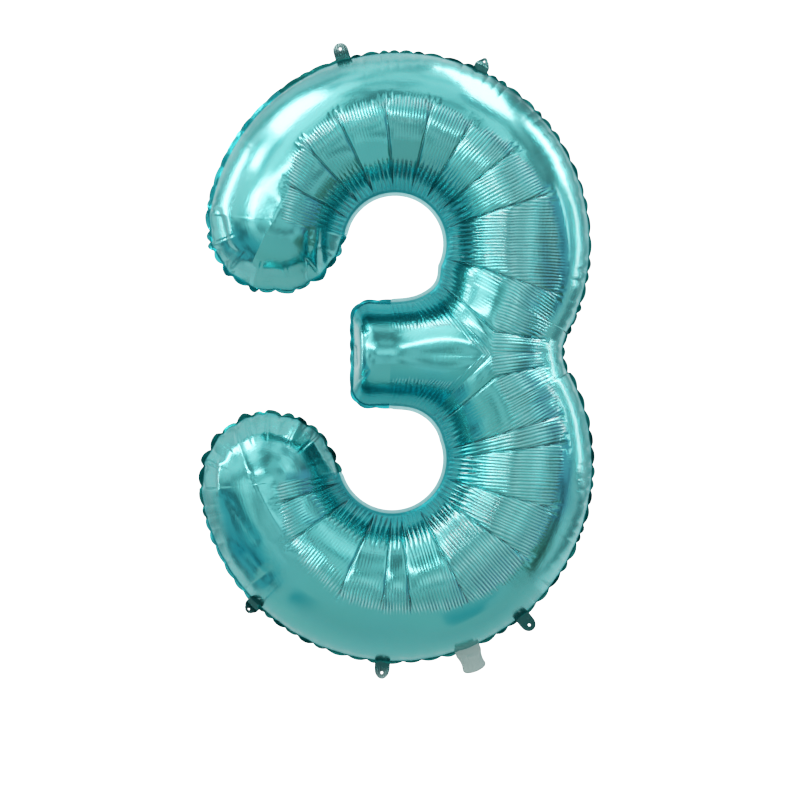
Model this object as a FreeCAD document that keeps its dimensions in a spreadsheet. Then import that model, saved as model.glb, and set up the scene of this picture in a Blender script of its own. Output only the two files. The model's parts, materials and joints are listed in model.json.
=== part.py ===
"""Foil number balloon shaped as the digit 3, about 860 mm tall when it is full of gas.

Frame: +Z up, +X to the right as the digit is read, and the digit's front faces -Y. The weld
seam lies in the plane y = 0, and the origin is the middle of the balloon's bounding box.

The digit is made of three round strokes: an upper ring and a lower ring, each open to the
left, and a straight bar between them. Where they meet, a round swelling fills the junction.
The skin is two films, front and back, welded face to face around their edge. Five tabs with
a punched hole and the filling neck stand out from that edge, each on its own film hinge.
"""

import FreeCAD, Part
import os
import Sketcher

# alias, value in millimetres or degrees, what it is
DIMENSIONS = [
    ("skin", 1.2, "thickness of the solid that stands for one film"),
    ("flange", 5.0, "width of the weld seam outside the gas space"),
    ("upper_x", 2.1, "centre of the upper ring"),
    ("upper_z", 162.0, "centre of the upper ring"),
    ("upper_ring", 168.5, "radius of the upper ring's centre line"),
    ("upper_tube", 98.0, "radius of the upper ring's stroke"),
    ("upper_start", -40.0, "angle at which the upper ring leaves the junction"),
    ("upper_end", 171.0, "angle of the upper ring's free end"),
    ("lower_x", -0.7, "centre of the lower ring"),
    ("lower_z", -144.5, "centre of the lower ring"),
    ("lower_ring", 173.4, "radius of the lower ring's centre line"),
    ("lower_tube", 99.8, "radius of the lower ring's stroke"),
    ("lower_start", 187.4, "angle of the lower ring's free end"),
    ("lower_end", 400.0, "angle at which the lower ring reaches the junction"),
    ("bar_z", 9.4, "height of the middle bar's axis"),
    ("bar_tube", 70.0, "radius of the middle bar"),
    ("bar_left", -60.9, "left end of the middle bar"),
    ("bar_dome", 28.0, "length of the bar's blunt left end"),
    ("junction_x", 120.0, "centre of the swelling where the strokes meet"),
    ("junction_tube", 112.0, "radius of the swelling"),
    ("tab_skin", 1.0, "thickness of a tab, which is both films welded together"),
    ("tab_gap", 2.4, "gap from the flange to a tab or to the neck"),
    ("tab_width", 21.0, "width of a tab"),
    ("tab_length", 18.0, "reach of a tab beyond its hinge line"),
    ("hole_radius", 2.0, "radius of the hole punched in a tab"),
    ("hole_reach", 9.5, "distance from a tab's hinge line to its hole"),
    ("crown_left_angle", 106.5, "place of the tab left of the crown, on the upper ring"),
    ("crown_left_fold", 0.0, "how far that tab is folded towards the front"),
    ("crown_right_angle", 64.7, "place of the tab right of the crown, on the upper ring"),
    ("crown_right_fold", -40.0, "how far that tab is folded towards the front"),
    ("foot_right_angle", 309.8, "place of the tab at the lower right, on the lower ring"),
    ("foot_right_fold", 0.0, "how far that tab is folded towards the front"),
    ("foot_middle_angle", 266.1, "place of the tab at the bottom, on the lower ring"),
    ("foot_middle_fold", 0.0, "how far that tab is folded towards the front"),
    ("foot_left_angle", 224.4, "place of the tab at the lower left, on the lower ring"),
    ("foot_left_fold", 55.0, "how far that tab is folded towards the front"),
    ("neck_angle", 291.2, "place of the filling neck on the lower ring"),
    ("neck_width", 36.0, "width of the neck at its root and at its mouth"),
    ("neck_waist", 2.5, "how far the neck's sides draw in between root and mouth"),
    ("neck_length", 24.0, "reach of the mouth's corners beyond the neck's hinge line"),
    ("neck_crown", 4.0, "how much further the middle of the mouth reaches"),
    ("neck_skin", 0.6, "thickness of the neck's front film, and of its back film"),
    ("valve_width", 24.0, "width of the valve sleeve"),
    ("valve_depth", 95.0, "how far the valve sleeve reaches in from the seam"),
    ("valve_skin", 0.5, "thickness of one of the valve sleeve's two films"),
    ("valve_gap", 0.2, "gap between the two films of the flat valve, and of the neck"),
]
GROWTH = {"gas": "-Dims.skin", "skin": "0", "seam": "Dims.flange"}  # beyond the skin's outside
TABS = {
    "crown_left": "upper",
    "crown_right": "upper",
    "foot_right": "lower",
    "foot_middle": "lower",
    "foot_left": "lower",
}
BEYOND = 2000.0  # longer than the balloon, for boxes that halve it
START, FINISH, CENTRE = 1, 2, 3  # how a sketch constraint names a curve's points
ORIGIN = (-1, START)  # the sketch's origin, and below it the sketch's own upright axis
UPRIGHT = -2


def make_sheet(doc):
    sheet = doc.addObject("Spreadsheet::Sheet", "Dims")
    for row, (alias, value, meaning) in enumerate(DIMENSIONS, start=1):
        sheet.set(f"A{row}", alias)
        sheet.set(f"B{row}", str(value))
        sheet.set(f"C{row}", meaning)
        sheet.setAlias(f"B{row}", alias)
    doc.recompute()
    return sheet


def add(doc, kind, name, **expressions):
    """Add an object whose properties are bound to the sheet by expressions."""
    thing = doc.addObject(kind, name)
    for key, expression in expressions.items():
        thing.setExpression(key, expression)
    return thing


def placed(x, z, turn):
    """Expression for a placement in the seam plane."""
    return f"placement(vector({x}; 0; {z}); {turn})"


# ------------------------------------------------------------------ the inflated digit


def dome(doc, kind, name, placement, **sizes):
    """Half of a ball or of an ellipsoid. It stands on a disc and rises along its own Z."""
    half = add(doc, kind, name, Placement=placement, **sizes)
    half.Angle1 = 0
    half.Angle2 = 90
    return half


def stroke(doc, ring, layer):
    """One ring of the digit and its round ends."""
    radius = f"Dims.{ring}_tube + ({GROWTH[layer]})"
    ring_plane = f"rotation(vector(0; -1; 0); Dims.{ring}_start) * rotation(vector(1; 0; 0); 90)"
    arc = add(
        doc,
        "Part::Torus",
        f"{layer}_{ring}_arc",
        Radius1=f"Dims.{ring}_ring",
        Radius2=radius,
        Angle3=f"Dims.{ring}_end - Dims.{ring}_start",
        Placement=placed(f"Dims.{ring}_x", f"Dims.{ring}_z", ring_plane),
    )
    pieces = [arc]
    for end, out in (("start", "180"), ("end", "0")):
        angle = f"Dims.{ring}_{end}"
        x = f"Dims.{ring}_x + Dims.{ring}_ring * cos({angle})"
        z = f"Dims.{ring}_z + Dims.{ring}_ring * sin({angle})"
        placement = placed(x, z, f"rotation(vector(0; 1; 0); {out} - {angle})")
        pieces.append(dome(doc, "Part::Sphere", f"{layer}_{ring}_{end}", placement, Radius=radius))
    return pieces


def bar(doc, layer):
    """The straight middle bar and its blunt left end."""
    growth = GROWTH[layer]
    radius = f"Dims.bar_tube + ({growth})"
    base = "(Dims.bar_left + Dims.bar_dome)"
    shaft = add(
        doc,
        "Part::Cylinder",
        f"{layer}_bar",
        Radius=radius,
        Height=f"Dims.junction_x - {base}",
        Placement=placed(base, "Dims.bar_z", "rotation(vector(0; 1; 0); 90)"),
    )
    to_left = placed(base, "Dims.bar_z", "rotation(vector(0; 1; 0); -90)")
    sizes = {"Radius1": f"Dims.bar_dome + ({growth})", "Radius2": radius, "Radius3": radius}
    return [shaft, dome(doc, "Part::Ellipsoid", f"{layer}_bar_end", to_left, **sizes)]


def digit(doc, layer):
    """The whole digit as one solid, for the gas space, the skin or the reach of the seam."""
    swelling = add(
        doc,
        "Part::Sphere",
        f"{layer}_junction",
        Radius=f"Dims.junction_tube + ({GROWTH[layer]})",
        Placement=placed("Dims.junction_x", "Dims.bar_z", "rotation(vector(0; 1; 0); 90)"),
    )
    whole = doc.addObject("Part::MultiFuse", f"{layer}_digit")
    rings = [*stroke(doc, "upper", layer), *stroke(doc, "lower", layer)]
    whole.Shapes = [*rings, *bar(doc, layer), swelling]
    whole.Refine = True
    return whole


def layer_box(doc, name, low_y, high_y):
    """Everything between two planes of constant y, given as expressions."""
    box = add(doc, "Part::Box", name, Width=f"({high_y}) - ({low_y})")
    box.Length = BEYOND
    box.Height = BEYOND
    box.Placement.Base = FreeCAD.Vector(-BEYOND / 2, 0, -BEYOND / 2)
    box.setExpression("Placement.Base.y", low_y)
    return box


def on_seam(ring, angle, reach):
    """Placement whose local Z points straight out of the seam at an angle of a ring."""
    x = f"Dims.{ring}_x + ({reach}) * cos({angle})"
    z = f"Dims.{ring}_z + ({reach}) * sin({angle})"
    return placed(x, z, f"rotation(vector(0; 1; 0); 90 - {angle})")


def centred_box(doc, name, thickness, low, high, low_y):
    """A flat box along the valve's axis, between two radii of the lower ring."""
    corner = placed("-Dims.valve_width / 2", "0", "rotation(vector(0; 1; 0); 0)")
    lift = f"placement(vector(0; {low_y}; 0); rotation(vector(0; 1; 0); 0))"
    return add(
        doc,
        "Part::Box",
        name,
        Length="Dims.valve_width",
        Width=thickness,
        Height=f"({high}) - ({low})",
        Placement=f"{on_seam('lower', 'Dims.neck_angle', low)} * {corner} * {lift}",
    )


def valve_passage(doc):
    """The unwelded stretch of the seam that the valve sleeve passes through."""
    edge = "Dims.lower_ring + Dims.lower_tube"
    height = "(2 * Dims.valve_skin + Dims.valve_gap)"
    low, high = f"{edge} - 2 * Dims.flange", f"{edge} + 2 * Dims.flange"
    return centred_box(doc, "valve_passage", height, low, high, f"-{height} / 2")


def make_panels(doc):
    """The front and back films: half of the skin each, with half of the weld seam."""
    seam = doc.addObject("Part::MultiCommon", "seam")
    seam.Shapes = [digit(doc, "seam"), layer_box(doc, "seam_layer", "-Dims.skin", "Dims.skin")]
    outside = doc.addObject("Part::MultiFuse", "skin_and_seam")
    outside.Shapes = [digit(doc, "skin"), seam]
    hollow = doc.addObject("Part::Cut", "hollow_skin")
    hollow.Base = outside
    hollow.Tool = digit(doc, "gas")
    envelope = doc.addObject("Part::Cut", "envelope")
    envelope.Base = hollow
    envelope.Tool = valve_passage(doc)
    panels = []
    sides = (("front_panel", f"-{BEYOND}", "0"), ("back_panel", "0", f"{BEYOND}"))
    for label, low_y, high_y in sides:
        panel = doc.addObject("Part::MultiCommon", label)
        panel.Shapes = [envelope, layer_box(doc, f"{label}_side", low_y, high_y)]
        panel.Label = label
        panels.append(panel)
    return panels


# ------------------------------------------------------------------ valve, neck and tabs


def make_valve(doc):
    """The valve sleeve: two flat films that lie against each other from the seam inwards."""
    high = "Dims.lower_ring + Dims.lower_tube + Dims.flange - 1"
    low = f"{high} - Dims.valve_depth"
    films = []
    for label, low_y in (
        ("valve_film_front", "-Dims.valve_gap / 2 - Dims.valve_skin"),
        ("valve_film_back", "Dims.valve_gap / 2"),
    ):
        film = centred_box(doc, label, "Dims.valve_skin", low, high, low_y)
        film.Label = label
        films.append(film)
    return films


def film_body(doc, label, ring, angle):
    """A body whose origin is on a hinge line of the seam, and a sketch in its XZ plane."""
    hinge = f"Dims.{ring}_ring + Dims.{ring}_tube + Dims.flange + Dims.tab_gap / 2"
    body = add(doc, "PartDesign::Body", label, Placement=on_seam(ring, angle, hinge))
    body.Label = label
    sketch = body.newObject("Sketcher::SketchObject", f"{label}_outline")
    planes = {p.Role: p for p in body.Origin.OriginFeatures}
    sketch.AttachmentSupport = [(planes["XZ_Plane"], "")]
    sketch.MapMode = "FlatFace"
    return body, sketch


def flat(x, y):
    return FreeCAD.Vector(x, y, 0)


def drawn(sketch, kind, where):
    """What a dimension measures on the sketch as it is drawn so far."""
    if kind == "Radius":
        return sketch.Geometry[where[0]].Radius
    across = sketch.getPoint(*where[2:]) - sketch.getPoint(*where[:2])
    return across.x if kind == "DistanceX" else across.y


def dimension(sketch, kind, *where, to):
    """Add a dimension to a sketch and bind it to the sheet."""
    number = sketch.addConstraint(Sketcher.Constraint(kind, *where, drawn(sketch, kind, where)))
    sketch.setExpression(f"Constraints[{number}]", to)


def root_line(sketch, width):
    """The straight root of a tab or of the neck, just outside its hinge line."""
    root = sketch.addGeometry(Part.LineSegment(flat(-10, 1), flat(10, 1)))
    sketch.addConstraint(Sketcher.Constraint("Symmetric", root, START, root, FINISH, UPRIGHT))
    dimension(sketch, "DistanceX", root, START, root, FINISH, to=width)
    dimension(sketch, "DistanceY", *ORIGIN, root, START, to="Dims.tab_gap / 2")
    return root


def joined(sketch, *ends):
    """Join each curve's end to the next curve's, given as (curve, point, curve, point)."""
    for end in ends:
        sketch.addConstraint(Sketcher.Constraint("Coincident", *end))


def make_tab(doc, name, ring):
    """A hanging tab: straight sides, a half-round end and a punched hole."""
    label = f"{name}_tab"
    body, sketch = film_body(doc, label, ring, f"Dims.{name}_angle")
    sketch.AttachmentOffset = FreeCAD.Placement(flat(0, 0), FreeCAD.Rotation(flat(1, 0), 1.0))
    sketch.setExpression("AttachmentOffset.Rotation.Angle", f"Dims.{name}_fold")
    root = root_line(sketch, "Dims.tab_width")
    right = sketch.addGeometry(Part.LineSegment(flat(10, 1), flat(10, 8)))
    end = sketch.addGeometry(Part.Arc(flat(10, 8), flat(0, 18), flat(-10, 8)))
    left = sketch.addGeometry(Part.LineSegment(flat(-10, 8), flat(-10, 1)))
    hole = sketch.addGeometry(Part.Circle(flat(0, 9), FreeCAD.Vector(0, 0, 1), 2))
    joined(sketch, (root, FINISH, right, START), (left, FINISH, root, START))
    sketch.addConstraint(
        [
            Sketcher.Constraint("Tangent", right, FINISH, end, START),
            Sketcher.Constraint("Tangent", end, FINISH, left, START),
            Sketcher.Constraint("Vertical", right),
            Sketcher.Constraint("Vertical", left),
            Sketcher.Constraint("PointOnObject", hole, CENTRE, UPRIGHT),
        ]
    )
    dimension(sketch, "DistanceY", *ORIGIN, end, CENTRE, to="Dims.tab_length - Dims.tab_width / 2")
    dimension(sketch, "DistanceY", *ORIGIN, hole, CENTRE, to="Dims.hole_reach")
    dimension(sketch, "Radius", hole, to="Dims.hole_radius")
    film = body.newObject("PartDesign::Pad", f"{label}_film")
    film.Profile = sketch
    film.Midplane = True
    film.setExpression("Length", "Dims.tab_skin")
    body.Tip = film
    return body


def bow(chord, sagitta):
    """Expression for the radius of an arc with this chord and sagitta."""
    return f"(({chord}) * ({chord}) / 4 + {sagitta} * {sagitta}) / (2 * {sagitta})"


def make_neck(doc, label, towards_front):
    """One film of the flat filling neck, waisted at its sides and rounded at its mouth."""
    body, sketch = film_body(doc, label, "lower", "Dims.neck_angle")
    side = 1 if towards_front else -1
    sketch.AttachmentOffset = FreeCAD.Placement(flat(0, 0), FreeCAD.Rotation())
    sketch.setExpression("AttachmentOffset.Base.z", f"{side} * Dims.valve_gap / 2")
    root = root_line(sketch, "Dims.neck_width")
    right = sketch.addGeometry(Part.Arc(flat(18, 24), flat(15, 12), flat(18, 1)))
    mouth = sketch.addGeometry(Part.Arc(flat(18, 24), flat(0, 28), flat(-18, 24)))
    left = sketch.addGeometry(Part.Arc(flat(-18, 1), flat(-15, 12), flat(-18, 24)))
    joined(
        sketch,
        (root, FINISH, right, FINISH),
        (right, START, mouth, START),
        (mouth, FINISH, left, FINISH),
        (left, START, root, START),
    )
    sketch.addConstraint(Sketcher.Constraint("Symmetric", mouth, START, mouth, FINISH, UPRIGHT))
    length = "Dims.neck_length - Dims.tab_gap / 2"
    dimension(sketch, "DistanceX", mouth, FINISH, mouth, START, to="Dims.neck_width")
    dimension(sketch, "DistanceY", *ORIGIN, mouth, START, to="Dims.neck_length")
    dimension(sketch, "Radius", mouth, to=bow("Dims.neck_width", "Dims.neck_crown"))
    dimension(sketch, "Radius", right, to=bow(length, "Dims.neck_waist"))
    dimension(sketch, "Radius", left, to=bow(length, "Dims.neck_waist"))
    film = body.newObject("PartDesign::Pad", f"{label}_film")
    film.Profile = sketch
    film.Reversed = not towards_front
    film.setExpression("Length", "Dims.neck_skin")
    body.Tip = film
    return body


# ------------------------------------------------------------------ build, check, write


def check(doc, parts):
    for thing in doc.Objects:
        if "Invalid" in thing.State or "Error" in thing.State:
            raise RuntimeError(f"{thing.Name} is {thing.State}")
    for part in parts:
        shape = part.Shape
        if shape.isNull() or not shape.isValid() or len(shape.Solids) != 1:
            raise RuntimeError(f"{part.Label} is not one valid solid")
        box = shape.optimalBoundingBox()
        lows = f"{box.XMin:.1f} {box.YMin:.1f} {box.ZMin:.1f}"
        highs = f"{box.XMax:.1f} {box.YMax:.1f} {box.ZMax:.1f}"
        print(f"{part.Label}: {shape.Volume / 1000:.3f} cm3, from {lows} to {highs}")


def main():
    doc = FreeCAD.newDocument("NumberBalloon")
    make_sheet(doc)
    parts = [
        *make_panels(doc),
        *make_valve(doc),
        make_neck(doc, "neck_film_front", True),
        make_neck(doc, "neck_film_back", False),
        *[make_tab(doc, name, ring) for name, ring in TABS.items()],
    ]
    doc.recompute()
    check(doc, parts)
    os.makedirs("parts", exist_ok=True)
    for part in parts:
        part.Shape.exportStep(f"parts/{part.Label}.step")
    gas = doc.getObject("gas_digit").Shape
    print(f"gas space: {gas.Volume / 1e6:.1f} litres")


main()
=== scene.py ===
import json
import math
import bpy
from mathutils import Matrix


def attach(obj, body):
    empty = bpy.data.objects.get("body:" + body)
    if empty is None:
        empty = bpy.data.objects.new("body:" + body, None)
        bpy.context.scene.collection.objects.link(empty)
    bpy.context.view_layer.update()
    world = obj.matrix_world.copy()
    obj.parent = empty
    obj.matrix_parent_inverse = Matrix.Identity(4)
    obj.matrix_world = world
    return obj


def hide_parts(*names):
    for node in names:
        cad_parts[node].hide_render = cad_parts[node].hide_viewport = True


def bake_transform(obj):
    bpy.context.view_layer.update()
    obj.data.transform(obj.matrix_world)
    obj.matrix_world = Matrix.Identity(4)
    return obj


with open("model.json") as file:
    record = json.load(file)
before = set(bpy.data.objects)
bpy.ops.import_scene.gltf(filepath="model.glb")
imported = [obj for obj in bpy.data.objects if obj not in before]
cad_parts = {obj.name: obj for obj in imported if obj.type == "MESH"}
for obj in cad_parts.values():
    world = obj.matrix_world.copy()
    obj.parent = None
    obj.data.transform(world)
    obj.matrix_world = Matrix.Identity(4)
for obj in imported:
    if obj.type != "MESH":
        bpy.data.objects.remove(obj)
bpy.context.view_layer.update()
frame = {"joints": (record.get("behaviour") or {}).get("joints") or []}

# A foil number balloon shaped as the digit 3, full of gas. Its front and back films are meshes
# of columns: each column runs from the middle of a stroke, over the bulge of the film, to the
# weld seam and across the seam's flange. The columns go once round the digit. Lengths are in
# millimetres in the seam plane (x, z) until a mesh is written, which is in metres.

from types import SimpleNamespace as Record

import bpy
import numpy as np
from mathutils import Vector

MM = 0.001
FLANGE = 5.0  # width of the weld seam
JUNCTION = np.array([129.7, 8.1])  # where the middle lines of the three strokes meet
UPPER = Record(
    centre=np.array([2.1, 162.0]),
    outer=271.5,
    bay_centre=np.array([-2.1, 162.0]),
    bay=66.6,
    free_end=171.0,
    turn=-28.0,
    notch=(152.6, 180.0),
    bay_corner=[(56, 117), (51, 106.5), (42, 98.5), (29.8, 92), (15, 88)],
    bar_side=86.0,
    creases=(171, 153, 134, 116, 95, 76, 58, 38, 17.5, -18),
)
LOWER = Record(
    centre=np.array([-0.7, -144.5]),
    outer=278.2,
    bay_centre=np.array([-6.2, -136.2]),
    bay=70.7,
    free_end=187.4,
    turn=388.0,
    notch=(207.8, 180.0),
    bay_corner=[(58, -104), (53.4, -94.5), (44.5, -83.5), (31, -74), (15, -69)],
    bar_side=-67.2,
    creases=(197.4, 215.5, 246, 265, 276, 298, 325, 345, 368, 377),
)
RING_RADIUS = 168.5  # of a ring's middle line
END_RADIUS = 92.0  # of a free end
NOTCH_CENTRE = np.array([291.5, 12.2])
NOTCH_RADIUS = 55.0
BAR_POLE = np.array([-8.0, 9.4])  # where the bar's columns fan out to its blunt left end
BAR_LEFT = -65.9
BAR_CORNER = 27.7
BULGE = 97.0  # half the thickness of a ring's stroke
BAR_BULGE = 77.0
JUNCTION_BULGE = 107.0
LAST_CREASE = 32.0  # distance of a ring's last crease from the junction
SEAM_SLOPE = 74.0  # degrees of arc from the crown to the seam

# Where the weld of a free end is creased into flat panels, as parts of the way round the end.
END_PANELS = {
    0: (0.0, 0.10, 0.22, 0.37, 0.55, 0.70, 0.86, 1.0),
    1: (0.0, 0.13, 0.27, 0.42, 0.53, 0.68, 0.80, 0.92, 1.0),
}
# Single folds: start and end in the seam plane, depth (negative is a ridge) and width.
FOLDS = [
    ((-246, 208), (-233, 155), 2.6, 4.5),
    ((-233, 155), (-205, 140), 2.0, 4.0),
    ((-196, 137), (-150, 222), -2.6, 9.0),
    ((-118, 178), (-121, 108), 3.2, 3.2),
    ((-101, 180), (-98, 112), 3.2, 3.2),
    ((-108, 180), (-110, 110), -1.8, 4.0),
    ((-222, -98), (-198, -160), -3.4, 5.0),
    ((-198, -160), (-150, -246), -2.6, 6.0),
    ((-118, -108), (-86, -158), -3.0, 6.0),
    ((-243, -138), (-241, -184), -3.0, 3.0),
    ((-232, -190), (-190, -250), 2.4, 7.0),
    ((-226, -250), (-178, -300), 2.6, 8.0),
    ((-56, 56), (-38, 40), 1.6, 4.0),
    ((-56, -30), (-38, -14), 1.6, 4.0),
    ((-57, 20), (-56, -10), 2.0, 2.0),
]

STEP = 1.0  # distance between columns along the middle of a stroke
EDGE_STEP = 2.4  # distance between columns round a free end
FAN_STEP = 0.6 * EDGE_STEP  # the same, measured nearer the fan's pole
ROWS = 28  # rows of a column from the middle of the stroke to the seam
FLANGE_ROWS = 2
ALL_ROWS = ROWS + FLANGE_ROWS
OUTER, BAY, BAR, CAP, BAR_CAP = range(5)  # kinds of column, by the edge they reach


# --- plane curves


def unit(degrees):
    """Directions in the seam plane, counted from +x towards +z."""
    angle = np.radians(degrees)
    return np.stack([np.cos(angle), np.sin(angle)], axis=-1)


def ray_to_circle(origin, directions, centre, radius):
    """Where rays from a point inside a circle meet it."""
    offset = origin - centre
    along = directions @ offset
    reach = -along + np.sqrt(radius**2 - offset @ offset + along**2)
    return origin + directions * reach[:, None]


def arc(centre, radius, start, end, count=60):
    """Points along an arc between two angles."""
    return centre + radius * unit(np.linspace(start, end, count))


def lengths(points):
    """Length of a line of points up to each of its points."""
    return np.concatenate([[0], np.cumsum(np.linalg.norm(np.diff(points, axis=0), axis=1))])


def spaced(points, count):
    """The same line with evenly spaced points."""
    along = lengths(points)
    where = np.linspace(0, along[-1], count)
    return np.stack([np.interp(where, along, points[:, k]) for k in (0, 1)], axis=1)


def through(points):
    """A smooth line through given points."""
    points = np.asarray(points, float)
    ends = np.vstack([2 * points[0] - points[1], points, 2 * points[-1] - points[-2]])
    t = np.linspace(0, 1, 16, endpoint=False)[:, None]
    spans = []
    for a, b, c, d in zip(ends, ends[1:], ends[2:], ends[3:]):
        curve = 2 * b + (c - a) * t + (2 * a - 5 * b + 4 * c - d) * t**2
        spans.append((curve + (3 * b - a - 3 * c + d) * t**3) / 2)
    return np.vstack([*spans, points[-1:]])


def eased(start, start_way, end, end_way):
    """A smooth line that leaves and arrives in the given directions."""
    reach = np.linalg.norm(end - start)
    t = np.linspace(0, 1, 60)[:, None]
    return (
        (2 * t**3 - 3 * t**2 + 1) * start
        + (t**3 - 2 * t**2 + t) * reach * start_way
        + (3 * t**2 - 2 * t**3) * end
        + (t**3 - t**2) * reach * end_way
    )


def smooth(x, low, high):
    """0 below low, 1 above high, and a smooth step between."""
    t = np.clip((x - low) / (high - low), 0, 1)
    return t * t * (3 - 2 * t)


def cells(x, scale):
    """The noise cell of each place, and how far through it the place is, eased."""
    x = np.asarray(x, float) / scale + 1000
    cell = np.floor(x).astype(int)
    t = x - cell
    return cell, t * t * (3 - 2 * t)


def wave_noise(x, scale, seed):
    """Smooth random values between -1 and 1 along a line."""
    table = np.random.RandomState(seed).uniform(-1, 1, 4096)
    cell, t = cells(x, scale)
    return table[cell % 4096] * (1 - t) + table[(cell + 1) % 4096] * t


def field_noise(x, y, scale_x, scale_y, seed):
    """Smooth random values between -1 and 1 over a surface."""
    table = np.random.RandomState(seed).uniform(-1, 1, (256, 256))
    cell_x, tx = cells(x, scale_x)
    cell_y, ty = cells(y, scale_y)

    def row(j):
        near = table[cell_x % 256, (cell_y + j) % 256]
        far = table[(cell_x + 1) % 256, (cell_y + j) % 256]
        return near * (1 - tx) + far * tx

    return row(0) * (1 - ty) + row(1) * ty


# --- columns of the digit


def ring_branch(ring):
    """One ring stroke's middle line, outer edge and bay edge, column by column."""
    length = math.radians(abs(ring.free_end - ring.turn)) * (ring.outer + ring.bay) / 2
    angles = np.linspace(ring.free_end, ring.turn, int(length / STEP))
    ways = unit(angles)
    outer = ring.centre + ring.outer * ways
    bay = ray_to_circle(ring.centre, ways, ring.bay_centre, ring.bay)
    middle = (outer + bay) / 2
    turning = math.copysign(90, ring.turn - ring.free_end)
    into = np.array([0.0, math.copysign(1, JUNCTION[1] - middle[-1][1])])
    rest = eased(middle[-1], unit(ring.turn + turning), JUNCTION, into)
    count = int(lengths(rest)[-1] / STEP) + 1
    corner = through([bay[-1], *ring.bay_corner, (BAR_POLE[0], ring.bar_side)])
    corner_length = lengths(corner)
    to_turn = corner[corner_length <= 0.42 * corner_length[-1]]
    bar_edge = corner[corner_length >= corner_length[len(to_turn) - 1]]
    notch = arc(NOTCH_CENTRE, NOTCH_RADIUS, *ring.notch)
    middle = np.vstack([middle, spaced(rest, count)[1:]])
    return Record(
        outer=np.vstack([outer, spaced(notch, count)[1:]]),
        bay=np.vstack([bay, spaced(to_turn, count)[1:]]),
        middle=middle,
        s=lengths(middle),
        angle=np.concatenate([angles, np.full(count - 1, ring.turn)]),
        bar_edge=bar_edge[::-1],
    )


def bar_branch():
    """The middle line of the bar, from its left end to the junction."""
    count = int(np.linalg.norm(JUNCTION - BAR_POLE) / STEP)
    middle = np.linspace(BAR_POLE, JUNCTION, count)
    return Record(middle=middle, s=lengths(middle), angle=np.zeros(count))


def join_branches(upper, lower, bar):
    """Number the branches and their points, and measure them along the whole digit."""
    first = len(upper.s)
    upper.number, upper.way, upper.id, upper.g = 0, 1, np.arange(first), upper.s
    for number, line in ((1, lower), (2, bar)):
        own = first + np.arange(len(line.s) - 1)
        line.number, line.way, line.id = number, -1, np.append(own, upper.id[-1])
        line.g = upper.s[-1] + line.s[-1] - line.s
        first += len(own)


def cap(pole, start, end):
    """The round free end of a stroke, from one edge point round to the other, clockwise."""
    radius = np.linalg.norm(start - pole)
    first = math.degrees(math.atan2(*(start - pole)[::-1]))
    points = arc(pole, radius, first, first - 180, 200)
    turned = np.linspace(0, 1, 200)[:, None]
    points = points + turned * (end - points[-1])
    return spaced(points, int(lengths(points)[-1] / EDGE_STEP))[1:-1]


def bar_end():
    """The bar's blunt left end, from its lower side round to its upper side."""
    x = BAR_LEFT + BAR_CORNER
    low, high = LOWER.bar_side, UPPER.bar_side
    lower_corner = arc(np.array([x, low + BAR_CORNER]), BAR_CORNER, 270, 180)
    upper_corner = arc(np.array([x, high - BAR_CORNER]), BAR_CORNER, 180, 90)
    points = np.vstack([[(BAR_POLE[0], low)], lower_corner, upper_corner, [(BAR_POLE[0], high)]])
    return spaced(points, int(lengths(points)[-1] / EDGE_STEP))[1:-1]


def table_of(line, edge, kind, ids, g, s, angle):
    """Columns as rows: edge point, middle point, place, angle, kind and branch."""
    whole = [np.broadcast_to(value, len(edge)) for value in (ids, g, s, angle, kind, line.number)]
    return np.column_stack([edge, *whole])


def side_columns(line, edge, kind):
    """Columns from a middle line to one of its edges."""
    return table_of(line, edge, kind, line.id, line.g, line.s, line.angle)


def end_columns(line, edge, kind):
    """Columns that fan out to a free end; they count down to the fan's middle and back."""
    part = np.linspace(0, 1, len(edge) + 2)[1:-1]
    s = -np.minimum(part, 1 - part) * (len(edge) + 1) * FAN_STEP
    g = line.g[0] + line.way * s
    return table_of(line, edge, kind, line.id[0], g, s, line.angle[0])


def crease_stations(ring, line):
    """Where the long creases cross a ring's middle line, with the line's two ends."""
    angles = np.abs(np.array(ring.creases, float) - ring.free_end)
    on_ring = np.abs(line.angle - ring.turn) > 0.01
    turned = np.abs(line.angle[on_ring] - ring.free_end)
    at = np.interp(angles, turned, line.s[on_ring])
    return np.unique([0, *at, line.s[-1] - LAST_CREASE, line.s[-1]])


def make_columns():
    """Every column of a film, once round the digit clockwise."""
    upper, lower, bar = ring_branch(UPPER), ring_branch(LOWER), bar_branch()
    join_branches(upper, lower, bar)
    count = len(bar.s)
    back_in = slice(-2, None, -1)  # from the junction back to the free end
    table = np.vstack(
        [
            side_columns(upper, upper.outer, OUTER),
            side_columns(lower, lower.outer, OUTER)[back_in],
            end_columns(lower, cap(lower.middle[0], lower.outer[0], lower.bay[0]), CAP),
            side_columns(lower, lower.bay, BAY),
            side_columns(bar, spaced(lower.bar_edge, count), BAR)[back_in],
            end_columns(bar, bar_end(), BAR_CAP),
            side_columns(bar, spaced(upper.bar_edge, count), BAR),
            side_columns(upper, upper.bay, BAY)[back_in],
            end_columns(upper, cap(upper.middle[0], upper.bay[0], upper.outer[0]), CAP),
        ]
    )
    cols = Record(edge=table[:, :2], loop=lengths(table[:, :2]))
    cols.g, cols.s, cols.angle = table[:, 3:6].T.copy()
    cols.id, cols.kind, cols.branch = table[:, (2, 6, 7)].T.astype(int)
    cols.middle = np.vstack([upper.middle, lower.middle[:-1], bar.middle[:-1]])
    whole = np.array([line.s[-1] for line in (upper, lower, bar)])
    cols.to_junction = whole[cols.branch] - cols.s
    cols.crease_at = {
        0: crease_stations(UPPER, upper),
        1: crease_stations(LOWER, lower),
        2: np.array([0, whole[2] / 2, whole[2]]),
    }
    return cols


# --- shape of the film


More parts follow.
